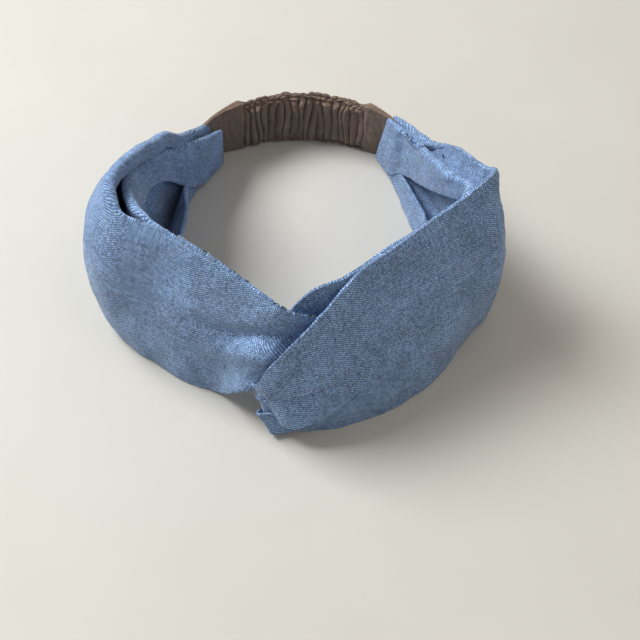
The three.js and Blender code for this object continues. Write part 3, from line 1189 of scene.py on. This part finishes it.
@dataclass
class Studio:
    """A pale table, soft light and the camera."""

    target: Point = (8.7, -49.0, 29.0)
    distance: float = 573.0
    elevation: float = 53.0
    heading: float = -1.3
    roll: float = 2.0
    lens: float = 73.1

    def camera(self) -> None:
        """A long lens that looks down on the front of the ring."""
        e, yaw, roll = (math.radians(a) for a in (self.elevation, self.heading, self.roll))
        back = np.array([math.sin(yaw) * math.cos(e), -math.cos(yaw) * math.cos(e), math.sin(e)])
        right = unit(np.cross([0.0, 0.0, 1.0], back))
        up = np.cross(back, right)
        turned = np.stack([
            math.cos(roll) * right + math.sin(roll) * up,
            math.cos(roll) * up - math.sin(roll) * right,
            back,
        ])
        place = (np.array(self.target) + back * self.distance) * MM
        data = bpy.data.cameras.new("camera")
        data.lens, data.sensor_width = self.lens, 36.0
        data.clip_start, data.clip_end = 0.01, 20.0
        camera = bpy.data.objects.new("camera", data)
        matrix = np.eye(4)
        matrix[:3, :3], matrix[:3, 3] = turned.T, place
        camera.matrix_world = Matrix(matrix.tolist())
        bpy.context.scene.collection.objects.link(camera)
        bpy.context.scene.camera = camera

    def light(self, name: str, place: Point, size: float, power: float, colour: Point) -> None:
        """A soft square lamp that faces the middle of the ring.

        Args:
            name: the lamp's name.
            place: where it stands, in metres.
            size: its side in metres.
            power: its power in watts.
            colour: its light's colour.
        """
        data = bpy.data.lights.new(name, "AREA")
        data.size, data.energy, data.color = size, power, colour
        lamp = bpy.data.objects.new(name, data)
        back = unit(np.array(place) - np.array([0.0, 0.0, 0.03]))
        side = unit(np.cross([0.0, 1.0, 0.2], back))
        matrix = np.eye(4)
        matrix[:3, :3] = np.stack([side, np.cross(back, side), back]).T
        matrix[:3, 3] = place
        lamp.matrix_world = Matrix(matrix.tolist())
        bpy.context.scene.collection.objects.link(lamp)

    def table(self) -> None:
        """The pale table top, with a faint mottle."""
        half = 3000.0
        corners = np.array([[-half, -half, 0], [half, -half, 0], [half, half, 0], [-half, half, 0]])
        mesh = bpy.data.meshes.new("table_top")
        mesh.from_pydata((corners * MM).tolist(), [], [(0, 1, 2, 3)])
        table = bpy.data.objects.new("table_top", mesh)
        bpy.context.scene.collection.objects.link(table)
        material, n, shader = new_material("pale_table")
        mottle = n.noise(n.add("TexCoord").outputs["Object"], 14.0, 5.0)
        n.feed(shader, "Base Color", n.mix(mottle, (0.58, 0.555, 0.505), (0.64, 0.615, 0.565)))
        shader.inputs["Roughness"].default_value = 0.55
        shader.inputs["Specular IOR Level"].default_value = 0.3
        table.data.materials.append(material)

    def build(self) -> None:
        """The camera, the lamps, the room's light and the table."""
        self.camera()
        self.light("window", (-0.9, 0.38, 1.2), 0.75, 29.0, (0.95, 0.98, 1.0))
        self.light("room_fill", (0.9, -0.5, 1.3), 1.6, 4.0, (1.0, 0.95, 0.88))
        world = bpy.data.worlds.new("room")
        world.use_nodes = True
        background = world.node_tree.nodes["Background"]
        background.inputs[0].default_value = (1.0, 0.96, 0.9, 1.0)
        background.inputs[1].default_value = 0.31
        bpy.context.scene.world = world
        bpy.context.scene.view_settings.view_transform = "Standard"
        self.table()


CHAMBRAY = WovenCloth(
    name="chambray", warp=(0.07, 0.15, 0.34), weft=(0.36, 0.50, 0.72), pitch=0.55,
    roughness=0.9, sheen=0.2, slub=0.9, relief=0.8, shade=0.75, speckle=0.45,
)
TAUPE = WovenCloth(
    name="taupe_cotton", warp=(0.16, 0.105, 0.078), weft=(0.235, 0.165, 0.125), pitch=0.34,
    roughness=0.62, sheen=0.3, slub=0.5, relief=0.5, shade=0.5, speckle=0.25,
)
BLUE_THREAD = SpunThread("blue_thread", (0.16, 0.26, 0.45))
BROWN_THREAD = SpunThread("brown_thread", (0.13, 0.085, 0.06))


def finish_piece(piece: bpy.types.Object, material: bpy.types.Material, slot: str, *nodes: str) -> None:
    """Gives a piece its material and hides the model's nodes that it stands for.

    Args:
        piece: the new piece, at the origin.
        material: what it is made of.
        slot: not used.
        *nodes: the model's nodes that it stands for.
    """
    piece.data.materials.append(material)
    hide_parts(*nodes)
    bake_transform(piece)


@dataclass
class Headband:
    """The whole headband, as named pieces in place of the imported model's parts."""

    chambray: bpy.types.Material = field(default_factory=CHAMBRAY.material)
    taupe: bpy.types.Material = field(default_factory=TAUPE.material)
    blue: bpy.types.Material = field(default_factory=BLUE_THREAD.material)
    brown: bpy.types.Material = field(default_factory=BROWN_THREAD.material)

    def bands(self) -> None:
        """The two bands, and the stitches along their rims and across their ends."""
        for band in (left_band(), right_band()):
            side = band.side.name.lower()
            grid, uv = band.surface()
            piece = tube_piece(band.name, grid, uv)
            finish_piece(piece, self.chambray, "chambray", f"{side}_band")
            rim = grid[4:-4, band.columns + 2]
            away = unit(rim - grid[4:-4, band.columns - 12])
            seam = StitchRow(f"{side}_band_seam_stitches", rim, away, radius=0.08, sink=0.15)
            finish_piece(seam.build(), self.blue, "blue_thread", f"{side}_band_seam_thread")
            self.end_stitches(side, band)

    def end_stitches(self, side: str, band: ClothBand) -> None:
        """The stitches that close a casing end between the two ends of its band.

        Args:
            side: the band's side, in words.
            band: the band.
        """
        low, high = np.array(band.stations[0].low), np.array(band.stations[0].high)
        ahead = unit(np.array([0.6 * band.side.value, -0.8, 0.0]))
        out = unit(np.cross(ahead, high - low)) * -band.side.value
        line = np.linspace(low + 3 * unit(high - low), high - 3 * unit(high - low), 12)
        line = line + ahead * 3.0 + out * 0.75
        row = StitchRow(f"{side}_end_stitches", line, np.repeat(out[None], 12, 0))
        finish_piece(row.build(), self.blue, "blue_thread", f"{side}_end_stitching")

    def casing(self) -> None:
        """The gathered casing, its elastic, and the stitches of its long seam."""
        casing = GatheredCasing()
        grid, uv = casing.surface()
        piece = tube_piece(casing.name, grid, uv)
        finish_piece(piece, self.taupe, "taupe_cotton", "elastic_casing")
        strip = ElasticStrip().build()
        finish_piece(strip, BraidedElastic().material(), "elastic_webbing", "elastic_strip")
        top = grid[30:-30, 0]
        up = np.repeat([[0.0, 0.0, 1.0]], len(top), 0)
        seam = StitchRow("casing_seam_stitches", top, up, pitch=2.2, length=1.5, radius=0.13)
        finish_piece(seam.build(), self.brown, "brown_thread", "casing_seam_thread")


def main() -> None:
    """Builds the headband, piece by piece, and the stage."""
    logging.basicConfig(level=logging.INFO, format="%(name)s: %(message)s")
    Studio().build()
    headband = Headband()
    headband.bands()
    headband.casing()


if __name__ == "__main__":
    main()
